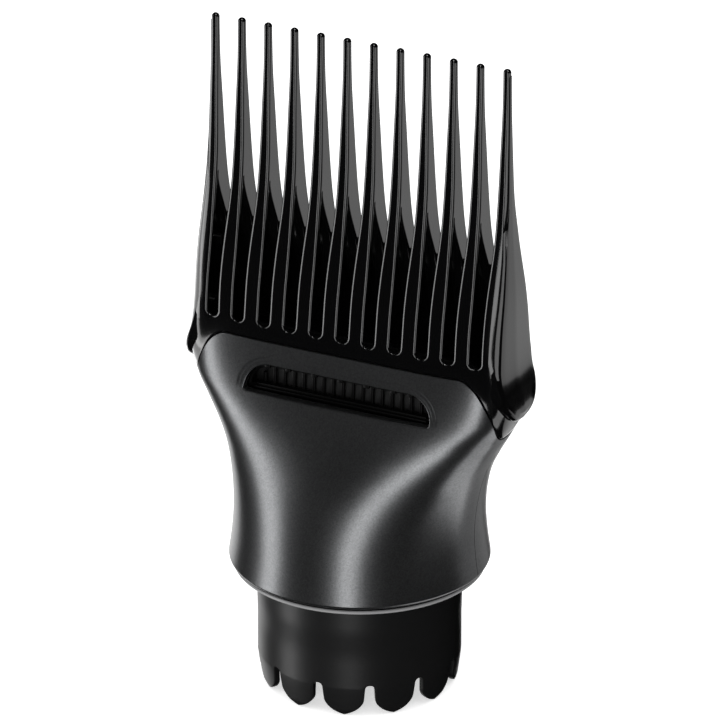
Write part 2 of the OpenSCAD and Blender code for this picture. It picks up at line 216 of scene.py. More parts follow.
# ----------------------------------------------------------------- materials
def nodes_of(name):
    m = bpy.data.materials.new(name)
    m.use_nodes = True
    nt = m.node_tree
    for n in list(nt.nodes):
        nt.nodes.remove(n)
    out = nt.nodes.new("ShaderNodeOutputMaterial")
    bsdf = nt.nodes.new("ShaderNodeBsdfPrincipled")
    nt.links.new(bsdf.outputs[0], out.inputs[0])
    coord = nt.nodes.new("ShaderNodeTexCoord")
    return m, nt, bsdf, coord


def plastic(name, base, rough, rough_var=0.03, grain=900, bump=0.02, metallic=0.0, spec=0.5,
            coat=0.0, coat_rough=0.1, base_var=0.1, scratch=0.0, bevel=0.0, flake=0.0):
    """Moulded plastic: uneven gloss, fine grain bump, faint cloudiness in the colour."""
    m, nt, bsdf, coord = nodes_of(name)
    L = nt.links.new
    big = nt.nodes.new("ShaderNodeTexNoise")
    big.inputs["Scale"].default_value = 28
    big.inputs["Detail"].default_value = 3
    L(coord.outputs["Object"], big.inputs["Vector"])
    fine = nt.nodes.new("ShaderNodeTexNoise")
    fine.inputs["Scale"].default_value = grain
    fine.inputs["Detail"].default_value = 4
    L(coord.outputs["Object"], fine.inputs["Vector"])
    # colour
    mix = nt.nodes.new("ShaderNodeMix")
    mix.data_type = "RGBA"
    a = [c * (1 - base_var) for c in base]
    b = [c * (1 + base_var) for c in base]
    mix.inputs[6].default_value = (*a, 1)
    mix.inputs[7].default_value = (*b, 1)
    L(big.outputs["Fac"], mix.inputs[0])
    colour = mix.outputs[2]
    if flake > 0:
        vor = nt.nodes.new("ShaderNodeTexVoronoi")
        vor.inputs["Scale"].default_value = 3200
        L(coord.outputs["Object"], vor.inputs["Vector"])
        ramp = nt.nodes.new("ShaderNodeValToRGB")
        ramp.color_ramp.elements[0].position = 0.0
        ramp.color_ramp.elements[0].color = (1 - flake, 1 - flake, 1 - flake, 1)
        ramp.color_ramp.elements[1].position = 1.0
        ramp.color_ramp.elements[1].color = (1 + flake, 1 + flake, 1 + flake, 1)
        L(vor.outputs["Color"], ramp.inputs["Fac"])
        mul = nt.nodes.new("ShaderNodeMix")
        mul.data_type = "RGBA"
        mul.blend_type = "MULTIPLY"
        mul.inputs[0].default_value = 1.0
        L(colour, mul.inputs[6])
        L(ramp.outputs["Color"], mul.inputs[7])
        colour = mul.outputs[2]
    L(colour, bsdf.inputs["Base Color"])
    # roughness
    r = nt.nodes.new("ShaderNodeMapRange")
    r.inputs["To Min"].default_value = max(rough - rough_var, 0.02)
    r.inputs["To Max"].default_value = rough + rough_var
    L(big.outputs["Fac"], r.inputs["Value"])
    value = r.outputs[0]
    if scratch > 0:
        wave = nt.nodes.new("ShaderNodeTexNoise")
        wave.inputs["Scale"].default_value = 160
        wave.inputs["Detail"].default_value = 8
        wave.inputs["Distortion"].default_value = 1.5
        L(coord.outputs["Object"], wave.inputs["Vector"])
        add = nt.nodes.new("ShaderNodeMath")
        add.operation = "MULTIPLY_ADD"
        add.inputs[1].default_value = scratch
        L(wave.outputs["Fac"], add.inputs[0])
        L(value, add.inputs[2])
        value = add.outputs[0]
    L(value, bsdf.inputs["Roughness"])
    # bump
    bp = nt.nodes.new("ShaderNodeBump")
    bp.inputs["Strength"].default_value = bump
    bp.inputs["Distance"].default_value = 0.0002
    L(fine.outputs["Fac"], bp.inputs["Height"])
    if bevel > 0:
        bv = nt.nodes.new("ShaderNodeBevel")
        bv.samples = 4
        bv.inputs["Radius"].default_value = bevel * MM
        L(bv.outputs["Normal"], bp.inputs["Normal"])
    L(bp.outputs["Normal"], bsdf.inputs["Normal"])
    bsdf.inputs["Metallic"].default_value = metallic
    bsdf.inputs["Specular IOR Level"].default_value = spec
    bsdf.inputs["Coat Weight"].default_value = coat
    bsdf.inputs["Coat Roughness"].default_value = coat_rough
    return m


M_HEAD = plastic("comb gloss black", (0.0010, 0.0010, 0.0011), 0.13, 0.02, 900, 0.012, spec=0.5)
M_PLATE = plastic("plate gloss black", (0.0012, 0.0012, 0.0013), 0.15, 0.02, 900, 0.012, spec=0.55)
M_BODY = plastic("body satin gunmetal", (0.118, 0.120, 0.123), 0.285, 0.02, 2600, 0.05, metallic=0.96,
                 spec=0.5, flake=0.18, coat=0.03, coat_rough=0.25)
M_VENT = plastic("vent black", (0.0009, 0.0009, 0.0009), 0.42, 0.04, 1200, 0.05, spec=0.12)
M_DUCT = plastic("duct black", (0.008, 0.008, 0.008), 0.5, 0.05, 900, 0.06, spec=0.3)
M_COLLAR = plastic("collar matte black", (0.0040, 0.0040, 0.0042), 0.38, 0.03, 1800, 0.05, spec=0.45)
# lighter grey copy of the collar's black plastic for the flange lip: a painted highlight on its rounded edge
M_LIP_PAINTED_HIGHLIGHT = plastic("collar lip painted highlight grey", (0.17, 0.17, 0.172), 0.40, 0.03, 1800, 0.05, spec=0.5)
M_SPRING = plastic("spring steel", (0.42, 0.42, 0.43), 0.32, 0.06, 500, 0.04, metallic=1.0, scratch=0.1)

# ------------------------------------------------------------- comb head
PITCH, TEETH = 7.0, 12
TIP_Z, TIP_R = 135.0, 0.95
X0 = PITCH * (TEETH - 1) / 2
WEB = 95.0
J_FLAT, J_FIL, J_WALL = 6, 8, 6
WALL_T = 0.95
MORPH = 11.0


def joint_z(phi, z):
    """Height of the head/body joint in direction phi of the normalised outline."""
    n = expo(np.minimum(z, 57.0))
    ph = np.clip(np.abs(phi), 0, PI / 2 - 1e-6)
    t = np.degrees(np.arctan(np.tan(ph) ** (n / 2)))
    return 40 + 17 * (1 - np.cos(np.radians(180 * np.minimum(1, t / 62)))) / 2


def head_r(phi, z):
    """Outline of the hood in normalised polar form: flush with the body at the
    joint, squarer and flush with the side plates above it."""
    c, s = np.abs(np.cos(phi)), np.abs(np.sin(phi))
    n0 = expo(z)
    A0 = half_w(z)
    W1 = np.maximum(curve(PLATE, z, 1) - 0.22, A0)
    n1 = np.maximum(11.0, n0 + 0.8)
    r0 = (c ** n0 + s ** n0) ** (-1 / n0)
    r1 = ((c * A0 / W1) ** n1 + s ** n1) ** (-1 / n1)
    w = smooth(0, MORPH, z - joint_z(phi, z))
    return r0 + w * (r1 - r0)


def head_phi(x, z):
    """Direction whose outline point is x from the middle."""
    x, z = np.broadcast_arrays(np.abs(np.asarray(x, float)), np.asarray(z, float))
    lo, hi = np.zeros(x.shape), np.full(x.shape, PI / 2)
    A0 = half_w(z)
    for _ in range(42):
        mid = (lo + hi) / 2
        big = A0 * head_r(mid, z) * np.cos(mid) > x
        lo, hi = np.where(big, mid, lo), np.where(big, hi, mid)
    return (lo + hi) / 2


def head_y(x, z):
    phi = head_phi(x, z)
    return half_d(z) * head_r(phi, z) * np.sin(phi)


def joint_x(x):
    z = np.full_like(np.asarray(x, float), 50.0)
    for _ in range(30):
        z = 0.5 * z + 0.5 * joint_z(head_phi(x, z), z)
    return z


def tooth_half(z):
    """Half thickness of a tooth at height z, wider where the ribs frame the slots."""
    z = np.asarray(z, float)
    u = np.clip((z - 94.5) / (TIP_Z - 10 - 94.5), 0, 1)
    t = (2.9 + (1.9 - 2.9) * (u * u * (3 - 2 * u) * 0.6 + u * 0.4)) / 2
    return t + 0.5 * (1 - smooth(72, 95, z))


def fillet_x(z, side):
    f = np.minimum(0.85 - 0.05 * smooth(80, 96, z), tooth_half(z) * 0.92)
    return f if side < 0 else np.minimum(f, 0.45 + 0.5 * smooth(100, 134, z))


def fillet_y(z, side):
    f = np.minimum(0.42 + 0.38 * smooth(80, 97, z), half_d(z) * 0.94)
    return f if side < 0 else np.minimum(f, 0.45 + 0.5 * smooth(100, 134, z))


def tip_scale(z):
    q = np.clip((np.asarray(z, float) - (TIP_Z - TIP_R)) / TIP_R, 0, 1)
    return np.sqrt(np.maximum(1 - q * q, 0))


UP = np.concatenate([np.linspace(WEB, 131, 25), np.linspace(132, TIP_Z - TIP_R, 3),
                     TIP_Z - TIP_R + TIP_R * np.sin(np.linspace(0, PI / 2, 8)[1:])])


class Skin:
    """Points given as x, z, where to read the form (xe, ze), and a, b in
    y = side * (a * form - b); the tooth axis xk is used in the round tips."""

    def __init__(self, side):
        self.side = side
        self.rows = []

    def solve(self, grids):
        """grids: list of arrays [ni, nj, 7] -> list of point grids."""
        flat = np.concatenate([g.reshape(-1, 7) for g in grids])
        y = np.maximum(flat[:, 4] * head_y(flat[:, 2], flat[:, 3]) - flat[:, 5], 0)
        s = tip_scale(flat[:, 1])
        xk = flat[:, 6]
        P = np.stack([xk + (flat[:, 0] - xk) * s, self.side * y * s, flat[:, 1]], 1)
        out, k = [], 0
        for g in grids:
            m = g.shape[0] * g.shape[1]
            out.append(P[k:k + m].reshape(g.shape[0], g.shape[1], 3))
            k += m
        return out


def skin_column(O, E, N2, fx, fy, xk, up):
    """Raw points from the middle of the tooth, over its edge, into the slot."""
    pts = []
    for s in np.linspace(0, 1, J_FLAT):
        p = O + (E - O) * s
        pts.append([p[0], p[1], p[0], p[1], 1, 0, xk])
    for a in np.linspace(0, PI / 2, J_FIL)[1:]:
        p = E + N2 * fx * math.sin(a)
        pts.append([p[0], p[1], E[0], E[1], 1, fy * (1 - math.cos(a)), xk])
    p = E + N2 * fx
    for s in np.linspace(0, 1, J_WALL)[1:]:
        if up:
            pts.append([p[0], p[1], E[0], E[1], 1 - s, fy * (1 - s), xk])
        else:
            pts.append([p[0], p[1], E[0], E[1], 1, fy + (WALL_T - fy) * s, xk])
    return pts


def skin_cell(xc, side, z0, z_base):
    """One slot with half a tooth on both sides. side -1 is the front skin, 1 the rear one."""
    low = np.linspace(z0, WEB, 34 if side < 0 else 14)[:-1]

    def straight(z, sgn, up):
        xk = xc + sgn * PITCH / 2
        h, fx, fy = float(tooth_half(z)), float(fillet_x(z, side)), float(fillet_y(z, side))
        return skin_column(np.array([xk, z]), np.array([xk - sgn * (h - fx), z]), np.array([-sgn, 0.0]), fx, fy, xk, up)

    zs = [(z, False) for z in low] + [(WEB, False)] + [(z, True) for z in UP]
    left = [straight(z, -1, u) for (z, u) in zs[::-1]]
    right = [straight(z, 1, u) for (z, u) in zs]
    h, fx, fy = float(tooth_half(z0)), float(fillet_x(z0, side)), float(fillet_y(z0, side))
    R = PITCH / 2 - (h - fx)
    nv, nb = 9, 20
    outer = [(-PITCH / 2, z0 + (z_base - z0) * s) for s in np.linspace(0, 1, nv)[1:]]
    outer += [(-PITCH / 2 + PITCH * s, z_base) for s in np.linspace(0, 1, nb)[1:]]
    outer += [(PITCH / 2, z_base + (z0 - z_base) * s) for s in np.linspace(0, 1, nv)[1:-1]]
    n = len(outer) + 1
    fan = []
    for i, (ox, oz) in enumerate(outer, 1):
        th = PI + PI * i / n
        E = np.array([xc + R * math.cos(th), z0 + R * math.sin(th)])
        fan.append(skin_column(np.array([xc + ox, oz]), E, -np.array([math.cos(th), math.sin(th)]), fx, fy, xc, False))
    G = np.array(left + fan + right)
    k0 = len(UP)
    seq = G[k0:len(G) - k0]
    inner = np.zeros((len(seq), 4, 7))
    for j, s in enumerate(np.linspace(0, 1, 4)):
        p = seq[:, -1, :2] * (1 - s) + seq[:, 0, :2] * s
        inner[:, j, 0:2] = p
        inner[:, j, 2:4] = seq[:, -1, 2:4] if s == 0 else p
        inner[:, j, 4] = 1
        inner[:, j, 5] = WALL_T
        inner[:, j, 6] = seq[:, -1, 6]
    levels = [z_base + (z0 - z_base) * s for s in np.linspace(0, 1, nv)][:-1] + [z for (z, _) in zs]
    bottom = [xc - PITCH / 2 + PITCH * s for s in np.linspace(0, 1, nb)]
    return G, inner, levels, bottom


N_CORNER = 24


def corner_rows(side, mirror, zl, off=0.0, s_cols=None):
    """Outline from the last tooth's middle round the end to the middle plane, at each height."""
    zl = np.asarray(zl, float)
    S = np.linspace(0, 1, N_CORNER + 1) if s_cols is None else s_cols
    phi0 = head_phi(np.full(zl.shape, X0), zl)
    Z = np.repeat(zl[:, None], len(S), 1)
    phi = phi0[:, None] * (1 - S[None])
    r = head_r(phi, Z)
    W, D = half_w(Z), half_d(Z)
    x1, y1 = W * r * np.cos(phi), D * r * np.sin(phi)
    ys = (half_d(zl) * head_r(phi0, zl) * np.sin(phi0))[:, None]
    a_l = x1[:, -1:] - X0
    psi = PI / 2 * S[None]
    x2, y2 = X0 + a_l * np.sin(psi) ** (2 / 2.6), ys * np.maximum(np.cos(psi), 0) ** (2 / 2.6)
    w = smooth(86, 100, Z)
    x, y = x1 * (1 - w) + x2 * w, y1 * (1 - w) + y2 * w
    sc = tip_scale(Z)
    x, y = X0 + (x - X0) * sc, y * sc
    return np.stack([mirror * x, side * y, Z], -1)


def inwards(P, side, mirror, off):
    """Moves corner points towards the inside, level by level."""
    d = np.gradient(P, axis=1)
    n = np.stack([d[..., 1], -d[..., 0], 0 * d[..., 0]], -1)
    n /= np.linalg.norm(n, axis=-1, keepdims=True) + 1e-12
    c = -P * np.array([1, 1, 0])
    n *= np.sign((n * c).sum(-1, keepdims=True))
    n[:, 0] = [0, -side, 0]
    n[:, -1] = [-mirror, 0, 0]
    return P + n * off


def build_head():
    B = Build()
    spec = ((-1, 61.65, 58.6), (1, 82.6, 79.0))
    SKIRT, RE = 3.5, 0.28
    for side, z0, base in spec:
        sk = Skin(side)
        grids, xs = [], []
        for c in range(TEETH - 1):
            G, inner, levels, bottom = skin_cell(-X0 + PITCH * (c + 0.5), side, z0, base)
            grids += [G, inner]
            xs += bottom if not xs else bottom[1:]
        xs = np.array(xs)
        zj = joint_x(xs) + 0.1
        # band under the cells: outer face, rounded edge, skirt, inner face
        nseg = 14 if side < 0 else 26
        cols = []
        for x, zp in zip(xs, zj):
            col = [[x, z, x, z, 1, 0, x] for z in np.linspace(base, zp + RE, nseg)]
            for a in np.linspace(0, PI / 2, 5)[1:]:
                z = zp + RE * (1 - math.sin(a))
                col.append([x, z, x, z, 1, RE * (1 - math.cos(a)), x])
            col += [[x, zp, x, zp, 1, 2.3, x], [x, zp - SKIRT, x, zp - SKIRT, 1, 2.3, x],
                    [x, zp - SKIRT, x, zp - SKIRT, 1, 3.4, x]]
            for s in (0.3, 0.65, 1.0):
                z = zp - SKIRT + (base - zp + SKIRT) * s
                col.append([x, z, x, z, 1, 3.4 - (3.4 - WALL_T) * s, x])
            cols.append(col)
        grids.append(np.array(cols))
        done = sk.solve(grids)
        for g in done[:-1]:
            B.grid(g, flip=side > 0)
        B.grid(done[-1], flip=side < 0)
        for mirror in (-1, 1):
            B.grid(corner_rows(side, mirror, levels), flip=(side * mirror) > 0)
            S = np.linspace(0, 1, N_CORNER + 1)
            zp = np.full(len(S), 48.0)
            for _ in range(40):
                ph = head_phi(np.full(len(S), X0), zp) * (1 - S)
                zp = 0.5 * zp + 0.5 * joint_z(ph, zp)
            zp = zp + 0.1
            zp[0] = zj[-1]

            def at(zv, off):
                """Point of every column at its own height."""
                rows = corner_rows(side, mirror, zv)
                if off:
                    rows = inwards(rows, side, mirror, off)
                i = np.arange(len(S))
                return rows[i, i]
            lines = [at(base + (zp + RE - base) * s, 0) for s in np.linspace(0, 1, nseg)]
            for a in np.linspace(0, PI / 2, 5)[1:]:
                lines.append(at(zp + RE * (1 - math.sin(a)), RE * (1 - math.cos(a))))
            lines.append(at(zp, 2.3))
            lines.append(at(zp - SKIRT, 2.3))
            lines.append(at(zp - SKIRT, 3.4))
            for s in (0.3, 0.65, 1.0):
                lines.append(at(zp - SKIRT + (base - zp + SKIRT) * s, 3.4 - (3.4 - WALL_T) * s))
            G = np.array(lines).transpose(1, 0, 2)
            B.grid(G, flip=(side * mirror) < 0)
    # webs: plates between the two skins, cut by a slanting lower edge
    zz = np.linspace(60, WEB + 2, 46)
    for k in range(TEETH):
        xk = -X0 + PITCH * k
        D = head_y(np.full(zz.shape, xk), zz)
        ya, yb = -D + WALL_T - 0.3, D - WALL_T + 0.3
        u = np.clip((WEB - zz) / 15.6, 0, 3)
        ys = -float(half_d(WEB)) + 0.25 + 5.1 * u - 0.3 * np.sin(np.minimum(u, 1) * 2 * PI)
        y0 = np.minimum(np.maximum(ya, ys), yb)
        h = tooth_half(zz) - 0.012
        ring = []
        for i in range(len(zz)):
            # closed ring round the plate at each height, rounded lower edge
            e = 0.25
            yl = [y0[i] + (yb[i] - y0[i]) * s for s in np.linspace(0, 1, 6)]
            r = [[xk + h[i], y, zz[i]] for y in yl[::-1]]
            r[-1][1] += e
            r += [[xk + h[i] - e, y0[i], zz[i]], [xk - h[i] + e, y0[i], zz[i]]]
            r2 = [[xk - h[i], y, zz[i]] for y in yl]
            r2[0][1] += e
            ring.append(r + r2)
        B.grid(np.array(ring), close_j=True)
        B.fan(ring[0])
        B.fan(ring[-1])
    ob = B.make("comb_head_moulding", M_HEAD, merge=0.003, sharp=55, recalc=False)
    return ob


# ----------------------------------------------------------- side plates
def build_plate(mirror, name):
    B = Build()
    zc, hw = 54.2, 9.2

    def half(z):
        return min(hw, float(half_d(z)) * (0.88 - 0.22 * float(smooth(92, 104, z))))

    # outline points from the front top, down and round the bottom to the rear top
    tz = np.linspace(133.2, zc, 46)
    out = [(-half(z), z) for z in tz]
    nb = 36
    for i in range(1, nb):
        th = PI + PI * i / nb
        out.append((hw * math.cos(th), zc + hw * math.sin(th)))
    out += [(half(z), z) for z in tz[::-1]]
    out = np.array(out)
    # direction to the inside of the outline
    d = np.gradient(out, axis=0)
    d /= np.linalg.norm(d, axis=1)[:, None]
    nin = np.stack([-d[:, 1], d[:, 0]], 1)
    c = np.array([[0.0, max(z, zc)] for (_, z) in out])
    flip = np.sum(nin * (c - out), 1) < 0
    nin[flip] *= -1

    def face_x(y, z):
        h = half(max(z, zc)) + 1e-6
        roof = 0.34 * min(1.0, h / 9.2) * (1 - min(1.0, abs(y) / h))
        full = float(curve(PLATE, z, 1))
        full += 1.85 * (max(58.0 - z, 0.0) / 13.0) ** 2.2
        if y < 0:
            # the front half lies flush on the rounded corner of the hood
            q = min(abs(y) / float(half_d(max(z, 46))), 0.999)
            full -= (1 - (1 - q ** 11) ** (1 / 11)) * 40.5 * (1 - float(smooth(92, 104, z)))
        return full + roof - 0.05

    rows = []
    r = 0.38
    for i, (y, z) in enumerate(out):
        rr = min(r + 0.9 * float(smooth(54, 48, z)), half(max(z, zc)) * 0.45)
        row = []
        # hidden foot, wall, rounded edge, face towards the middle line
        row.append([39.0 if z < 112 else max(38.9, face_x(y, z) - 0.6), y, z])
        x_e = face_x(y, z)
        row.append([x_e - rr, y, z])
        for a in np.linspace(0, PI / 2, 6)[1:]:
            q = np.array([y, z]) + nin[i] * rr * (1 - math.cos(a))
            row.append([x_e - rr + rr * math.sin(a), q[0], q[1]])
        e = np.array([y, z]) + nin[i] * rr
        m = np.array([0.0, max(z, zc)])
        for s in np.linspace(0, 1, 9)[1:]:
            q = e + (m - e) * s
            row.append([face_x(q[0], q[1]), q[0], q[1]])
        rows.append(row)
    G = np.array(rows)
    B.grid(G)
    # top end
    B.fan([G[0][j] for j in range(G.shape[1])] + [G[-1][j] for j in range(G.shape[1] - 1)][::-1])
    B.fan([G[i][0] for i in range(len(G))])
    # studs
    for z in (60, 76):
        a = np.linspace(0, 2 * PI, 25)[:-1]
        st = [[[x, r0 * math.cos(t), z + r0 * math.sin(t)] for t in a] for (x, r0) in
              ((39.3, 1.5), (36.9, 1.5), (36.6, 1.2))]
        B.grid(np.array(st), close_j=True)
        B.fan(st[-1])
    ob = B.make(name, M_PLATE, merge=0.003, sharp=9, recalc=True,
                move=lambda v: v * np.array([mirror, 1, 1]))
    return ob


# ---------------------------------------------------------------- body
def arc_table(z, n=1200):
    """Half outline at height z by arc length: share of the length, x, y (front half, -X to +X)."""
    W, D, N = float(half_w(z)), float(half_d(z)), float(expo(z))
    phi = np.linspace(-PI, 0, n)
    c, s = np.cos(phi), np.sin(phi)
    r = (np.abs(c) ** N + np.abs(s) ** N) ** (-1 / N)
    x, y = W * r * c, D * r * s
    l = np.concatenate([[0], np.cumsum(np.hypot(np.diff(x), np.diff(y)))])
    return l / l[-1], x, y


VENT_W, VENT_H, VENT_Z = 49.5, 7.0, 44.3


def vent_ring(g, n_arc=18, n_top=34, n_bot=46):
    """Half-moon outline grown by g: flat bottom, large upper corners; (x, z) points."""
    w, top, low = VENT_W / 2 + g, VENT_Z + VENT_H + g, VENT_Z - g
    R = VENT_H * 0.93 + g
    cx, cz = VENT_W / 2 - VENT_H * 0.93, VENT_Z + VENT_H - VENT_H * 0.93
    r0 = 0.6
    lo = r0 + g
    pts = []
    # bottom, left to right
    for s in np.linspace(0, 1, n_bot)[:-1]:
        pts.append((-(VENT_W / 2 - r0) + (VENT_W - 2 * r0) * s, low))
    for a in np.linspace(-PI / 2, 0, 6)[:-1]:
        pts.append((VENT_W / 2 - r0 + lo * math.cos(a), VENT_Z + r0 + lo * math.sin(a)))
    for a in np.linspace(0, PI / 2, n_arc)[:-1]:
        pts.append((cx + R * math.cos(a), cz + R * math.sin(a)))
    for s in np.linspace(0, 1, n_top)[:-1]:
        pts.append((cx - 2 * cx * s, top))
    for a in np.linspace(PI / 2, PI, n_arc)[:-1]:
        pts.append((-cx + R * math.cos(a), cz + R * math.sin(a)))
    for a in np.linspace(PI, 1.5 * PI, 6)[:-1]:
        pts.append((-(VENT_W / 2 - r0) + lo * math.cos(a), VENT_Z + r0 + lo * math.sin(a)))
    return np.array(pts)


def in_vent(x, z, g):
    """Whether a point of the front view lies inside the vent's outline grown by g."""
    w, top, low = VENT_W / 2 + g, VENT_Z + VENT_H + g, VENT_Z - g
    R = VENT_H * 0.93 + g
    if abs(x) > w or z > top or z < low:
        return False
    cx, cz = w - R, top - R
    if abs(x) > cx and z > cz:
        return math.hypot(abs(x) - cx, z - cz) < R
    lo = 0.6 + g
    if lo > 0 and abs(x) > w - lo and z < low + lo:
        return math.hypot(abs(x) - (w - lo), z - (low + lo)) < lo
    return True


EDGE_R = 1.2
GAP = 0.3
TOP_R = 0.3


ZT = np.linspace(-0.5, 60, 243)
ARC = [arc_table(max(z, 0)) for z in ZT]


PHI_G = np.linspace(-PI, 0, 1200)


def shell_top(F):
    """Height of the shell's upper edge at each share of the outline."""
    phi = np.linspace(0, PI / 2, 700)
    z = np.full(phi.shape, 48.0)
    for _ in range(40):
        z = 0.5 * z + 0.5 * joint_z(phi, z)
    g = []
    for p, zz in zip(phi, z):
        k = min(max((zz + 0.5) / 60.5 * 242, 0), 241.99)
        j = int(k)
        w = k - j
        g.append((1 - w) * np.interp(-p, PHI_G, ARC[j][0]) + w * np.interp(-p, PHI_G, ARC[j + 1][0]) - 0.5)
    g = np.array(g)
    order = np.argsort(g)
    return np.interp(np.abs(np.asarray(F) - 0.5), g[order], z[order]) - GAP


def build_shell(side, name):
    """side -1 is the front shell with the vent, 1 the rear one."""
    B = Build()
    cols, rows = (150, 76) if side < 0 else (130, 60)
    F = np.linspace(0, 1, cols + 1)
    seam = 0.09
    tops = shell_top(F)
    tabs = ARC

    def point(f, z, inner=0.0):
        k = np.clip((z + 0.5) / 60.5 * 242, 0, 241.999)
        i = int(k)
        w = k - i
        res = []
        for t in (tabs[i], tabs[i + 1]):
            res.append((np.interp(f, t[0], t[1]), np.interp(f, t[0], t[2])))
        x = res[0][0] * (1 - w) + res[1][0] * w
        y = res[0][1] * (1 - w) + res[1][1] * w
        W, D, N = float(half_w(z)), float(half_d(z)), float(expo(z))
        # onto the exact form
        g = (abs(x / W) ** N + abs(y / D) ** N) ** (1 / N)
        x, y = x / g, y / g
        if inner > 0:
            gx = abs(x / W) ** (N - 1) / W * np.sign(x)
            gy = abs(y / D) ** (N - 1) / D * np.sign(y)
            ln = math.hypot(gx, gy) + 1e-12
            x, y = x - inner * gx / ln, y - inner * gy / ln
        return [x, y * (1 if side < 0 else -1), z]

    def f_of_x(x, z):
        k = int(np.clip(round((z + 0.5) / 60.5 * 242), 0, 242))
        return float(np.interp(x, tabs[k][1], tabs[k][0]))

    z_lo = EDGE_R
    zg = [[z_lo + (tops[i] - TOP_R - z_lo) * (k / rows) for k in range(rows + 1)] for i in range(cols + 1)]
    outer = [[point(F[i], zg[i][k]) for k in range(rows + 1)] for i in range(cols + 1)]
    if side > 0:
        B.grid(np.array(outer), flip=False)
    else:
        # front: triangulated in the flat so that the vent can be cut out exactly
        L = 100.0
        g_out = 2.6
        ring = vent_ring(g_out)
        pts2, pos = [], []
        nring = len(ring)
        for (x, z) in ring:
            f = f_of_x(x, z)
            pts2.append((f * L, z))
            yy = float(front_y(x, z))
            pos.append([x, -yy, z])
        inside_r = vent_ring(g_out + 0.45)
        w2, top2, low2 = VENT_W / 2 + g_out + 0.5, VENT_Z + VENT_H + g_out + 0.5, VENT_Z - g_out - 0.5

        idx_map = {}
        for i in range(cols + 1):
            for k in range(rows + 1):
                p = outer[i][k]
                if in_vent(p[0], p[2], g_out + 0.35) and 0 < i < cols and 0 < k < rows:
                    continue
                idx_map[(i, k)] = len(pts2)
                pts2.append((F[i] * L, zg[i][k]))
                pos.append(p)
        edges = [(j, (j + 1) % nring) for j in range(nring)]
        for i in range(cols):
            edges.append((idx_map[(i, 0)], idx_map[(i + 1, 0)]))
            edges.append((idx_map[(i, rows)], idx_map[(i + 1, rows)]))
        for k in range(rows):
            edges.append((idx_map[(0, k)], idx_map[(0, k + 1)]))
            edges.append((idx_map[(cols, k)], idx_map[(cols, k + 1)]))
        res = delaunay_2d_cdt([Vector(p) for p in pts2], edges, [], 0, 1e-7)
        vo, _, fo, vmap, _, _ = res
        src = [m[0] for m in vmap]
        base = B.add([pos[s] for s in src])
        for tri in fo:
            cx = sum(pos[src[t]][0] for t in tri) / 3
            cz = sum(pos[src[t]][2] for t in tri) / 3
            if in_vent(cx, cz, g_out - 0.02):
                continue
            f2 = [pts2[src[t]] for t in tri]
            # outside the curved upper boundary
            i = min(cols - 1, int((f2[0][0] + f2[1][0] + f2[2][0]) / 3 / L * cols))
            tt = (tops[i] + tops[i + 1]) / 2 - TOP_R + 0.004
            if (f2[0][1] + f2[1][1] + f2[2][1]) / 3 > max(tops[i], tops[i + 1]) - TOP_R + 1e-6:
                continue
            if all(p[1] >= tt - 0.4 for p in f2):
                i_s = [round(p[0] / L * cols) for p in f2]
                on_top = [abs(p[1] - (tops[min(cols, max(0, q))] - TOP_R)) < 1e-6 for p, q in zip(f2, i_s)]
                if all(on_top):
                    continue
            B.f.append([base + t for t in tri])
        # rim of the vent: faint stepped border outside, rounded edge, wall going in
        def y_at(x, z):
            return float(front_y(x, z))
        offs = [2.6, 2.3, 2.05, 1.9, 1.75, 1.6, 1.35, 1.1, 0.95, 0.8, 0.65, 0.5, 0.34]

        def lift(g, x, z):
            """Low step round the upper three sides."""
            up = float(smooth(VENT_Z + 0.4, VENT_Z + 2.2, z))
            return up * (-0.10 * (1 - float(smooth(1.6, 2.05, g))) - 0.10 * (1 - float(smooth(0.65, 1.1, g))))
        G = []
        for g in offs:
            r = vent_ring(g)
            G.append([[x, -(y_at(x, z) + lift(g, x, z)), z] for (x, z) in r])
        for a in np.linspace(0, PI / 2, 6)[1:]:
            g = 0.34 * (1 - math.sin(a))
            r = vent_ring(g)
            G.append([[x, -(y_at(x, z) + lift(g, x, z) - 0.34 * (1 - math.cos(a))), z] for (x, z) in r])
        r = vent_ring(0.0)
        for dpt in (0.8, 1.3, 2.0):
            G.append([[x, -(y_at(x, z) + lift(0, x, z) - dpt), z] for (x, z) in r])
        for g in (0.9, 1.8):
            G.append([[x, -(y_at(x, z) - 2.0), z] for (x, z) in vent_ring(g)])
        B.grid(np.array(G), close_j=True)
    # lower rounded edge and floor, upper rounded edge, inner side
    lowrow = []
    for i in range(cols + 1):
        col = [outer[i][0]]
        for a in np.linspace(0, PI / 2, 9)[1:]:
            z = EDGE_R * (1 - math.sin(a))
            p = point(F[i], z, EDGE_R * (1 - math.cos(a)))
            col.append(p)
        q = point(F[i], 0.0, 0)
        r = math.hypot(q[0], q[1])
        for rr in (28.0, 24.72):
            col.append([q[0] * rr / r, q[1] * rr / r, 0.0])
        for zz in (2.2,):
            col.append([q[0] * 24.72 / r, q[1] * 24.72 / r, zz])
        col.append([q[0] * 29.4 / r, q[1] * 29.4 / r, 2.2])
        col.append(point(F[i], 4.0, 2.0))
        nin = 18
        for k in range(1, nin + 1):
            z = 4.0 + (tops[i] - 4.0) * k / nin
            col.append(point(F[i], z, 2.0))
        for a in np.linspace(0, PI / 2, 5):
            z = tops[i] - TOP_R * (1 - math.cos(a)) if False else tops[i] - TOP_R * (1 - math.cos(PI / 2 - (PI / 2 - a)))
            if a == 0:
                p = point(F[i], tops[i], TOP_R)
            else:
                p = point(F[i], tops[i] - TOP_R * (1 - math.cos(a)), TOP_R * (1 - math.sin(a)))
            col.append(p)
        lowrow.append(col)
    G = np.array(lowrow)
    first = len(B.f)
    B.grid(G, flip=(side < 0))
    if side < 0:
